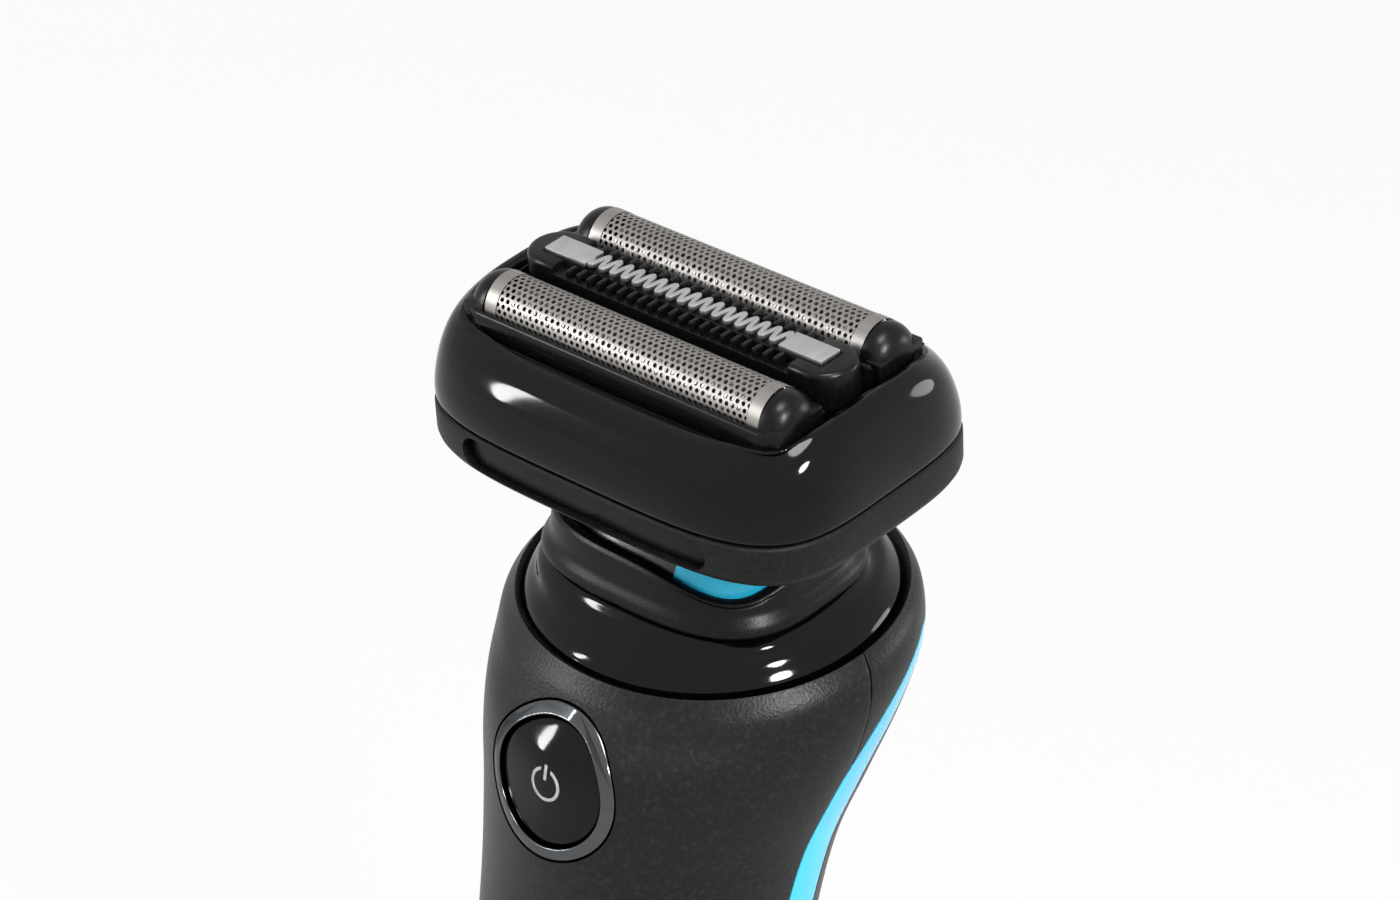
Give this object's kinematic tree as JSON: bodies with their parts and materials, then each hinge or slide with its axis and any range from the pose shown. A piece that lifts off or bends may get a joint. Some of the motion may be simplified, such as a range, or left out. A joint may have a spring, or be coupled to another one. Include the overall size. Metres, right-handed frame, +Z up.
{
  "type": "electric shaver",
  "caption": "Foil shaver with a tilting head, two sprung perforated foils either side of a trimmer, and a waisted black grip with mint side strips.",
  "frame": {"origin": "under the middle of the whole part, on the surface it stands on", "axes": "+Z up the grip, +X along the foils to the right seen from the button side, -Y towards the power button"},
  "size_m": [0.0586, 0.0518, 0.1601],
  "materials": {
    "gloss_black": "high gloss",
    "satin_black": "fine spark-eroded satin",
    "accent": "gloss mint blue",
    "foil_steel": "perforated, satin",
    "blade_steel": "ground",
    "steel": "plain",
    "inner_plastic": "moulded",
    "seal_rubber": "matt",
    "board": "solder mask",
    "clear": "translucent",
    "cell_sleeve": "shrink sleeve"
  },
  "bodies": {
    "grip": {"front_shell": "satin_black", "rear_shell": "satin_black", "side_strip_left": "accent", "side_strip_right": "accent", "collar": "gloss_black", "button_bezel": "steel", "indicator_window": "clear", "light_guide": "clear", "base_cap": "satin_black", "charging_socket": "inner_plastic", "contact_pin_left": "steel", "contact_pin_right": "steel", "base_screw_left": "steel", "base_screw_right": "steel", "chassis": "inner_plastic", "battery_cell": "cell_sleeve", "battery_tab_lower": "steel", "battery_tab_upper": "steel", "motor": "steel", "circuit_board": "board", "push_switch": "inner_plastic", "neck_cover": "satin_black", "swivel_yoke": "inner_plastic", "pivot_pin_left": "steel", "pivot_pin_right": "steel", "lever_pin": "steel", "drive_seal": "seal_rubber"},
    "button": {"power_button": "gloss_black"},
    "rotor": {"motor_shaft": "steel"},
    "lever": {"drive_lever": "inner_plastic"},
    "head": {"head_base": "satin_black", "head_dome": "accent", "front_apron": "satin_black", "rear_apron": "satin_black"},
    "bridge": {"drive_bridge": "inner_plastic"},
    "cassette": {"cassette_frame": "gloss_black", "front_float_spring_left": "steel", "front_float_spring_right": "steel", "rear_float_spring_left": "steel", "rear_float_spring_right": "steel"},
    "front_foil_unit": {"front_foil": "foil_steel", "front_foil_holder": "gloss_black"},
    "rear_foil_unit": {"rear_foil": "foil_steel", "rear_foil_holder": "gloss_black"},
    "trimmer_unit": {"trimmer_guard": "gloss_black", "trimmer_comb": "blade_steel"},
    "front_cutter": {"front_cutter_block": "blade_steel"},
    "rear_cutter": {"rear_cutter_block": "blade_steel"},
    "trimmer_blade": {"trimmer_cutter": "blade_steel"}
  },
  "joints": [
    {"name": "head_tilt", "type": "hinge", "parent": "grip", "child": "head", "pos_m": [0, -0.00009, 0.124], "axis": [1, 0, 0], "range_deg": [-15, 15], "stiffness_Nm_per_rad": 0.25},
    {"name": "cassette_lift", "type": "slide", "parent": "head", "child": "cassette", "axis": [0, -0.2756, 0.9613], "range_m": [0, 0.03]},
    {"name": "front_foil_float", "type": "slide", "parent": "cassette", "child": "front_foil_unit", "axis": [0, -0.2756, 0.9613], "range_m": [-0.002, 0], "stiffness_N_per_m": 600, "springref_m": 0.0006, "deforming": ["front_float_spring_left", "front_float_spring_right"]},
    {"name": "rear_foil_float", "type": "slide", "parent": "cassette", "child": "rear_foil_unit", "axis": [0, -0.2756, 0.9613], "range_m": [-0.002, 0], "stiffness_N_per_m": 600, "springref_m": 0.0006, "deforming": ["rear_float_spring_left", "rear_float_spring_right"]},
    {"name": "trimmer_float", "type": "slide", "parent": "cassette", "child": "trimmer_unit", "axis": [0, -0.2756, 0.9613], "range_m": [-0.002, 0], "stiffness_N_per_m": 600, "springref_m": 0.0006},
    {"name": "lever_swing", "type": "hinge", "parent": "grip", "child": "lever", "pos_m": [0, 0.00322, 0.11246], "axis": [0, 0.9613, 0.2756], "range_deg": [-2.5, 2.5]},
    {"name": "bridge_slide", "type": "slide", "parent": "head", "child": "bridge", "axis": [1, 0, 0], "range_m": [-0.0013, 0.0013]},
    {"name": "front_cutter_slide", "type": "slide", "parent": "front_foil_unit", "child": "front_cutter", "axis": [1, 0, 0], "range_m": [-0.0012, 0.0012]},
    {"name": "rear_cutter_slide", "type": "slide", "parent": "rear_foil_unit", "child": "rear_cutter", "axis": [1, 0, 0], "range_m": [-0.0013, 0.0013]},
    {"name": "trimmer_blade_slide", "type": "slide", "parent": "trimmer_unit", "child": "trimmer_blade", "axis": [1, 0, 0], "range_m": [-0.0013, 0.0013]},
    {"name": "motor_spin", "type": "hinge", "parent": "grip", "child": "rotor", "pos_m": [0, 0.00522, 0.09], "axis": [0, 0, 1], "continuous": true},
    {"name": "button_press", "type": "slide", "parent": "grip", "child": "button", "axis": [0, 1, 0], "range_m": [0, 0.0008], "stiffness_N_per_m": 1500}
  ],
  "couplings": [
    {"joint": "bridge_slide", "follows": "front_cutter_slide", "ratio": 1},
    {"joint": "rear_cutter_slide", "follows": "front_cutter_slide", "ratio": 1},
    {"joint": "trimmer_blade_slide", "follows": "front_cutter_slide", "ratio": 1},
    {"joint": "lever_swing", "follows": "front_cutter_slide", "rad_per_m": 33.898}
  ]
}
